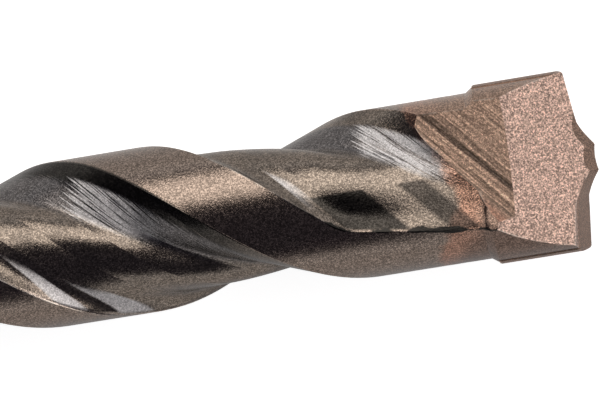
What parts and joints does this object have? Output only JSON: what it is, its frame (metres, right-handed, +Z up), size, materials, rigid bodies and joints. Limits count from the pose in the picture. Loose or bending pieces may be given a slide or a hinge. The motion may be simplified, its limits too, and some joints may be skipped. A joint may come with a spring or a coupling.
{
  "type": "sds plus drill bit",
  "caption": "Masonry drill bit with a slotted quick-change shank, a double spiral flute and a brazed carbide tip plate with a centre point.",
  "frame": {"origin": "centre of the shank's flat rear face, on the bit's axis", "axes": "+X along the bit's axis towards the tip, +Z up with the bit lying on its side, so that the flat of the carbide plate faces up"},
  "size_m": [0.16, 0.0104, 0.01],
  "materials": {
    "blasted_steel": "hardened and shot-blasted, satin brown-grey with a copper heat tint near the tip",
    "sintered_carbide": "ground and blasted carbide, fine matt grain, pinkish grey"
  },
  "bodies": {
    "root": {"steel_body": "blasted_steel", "carbide_plate": "sintered_carbide"}
  },
  "joints": []
}
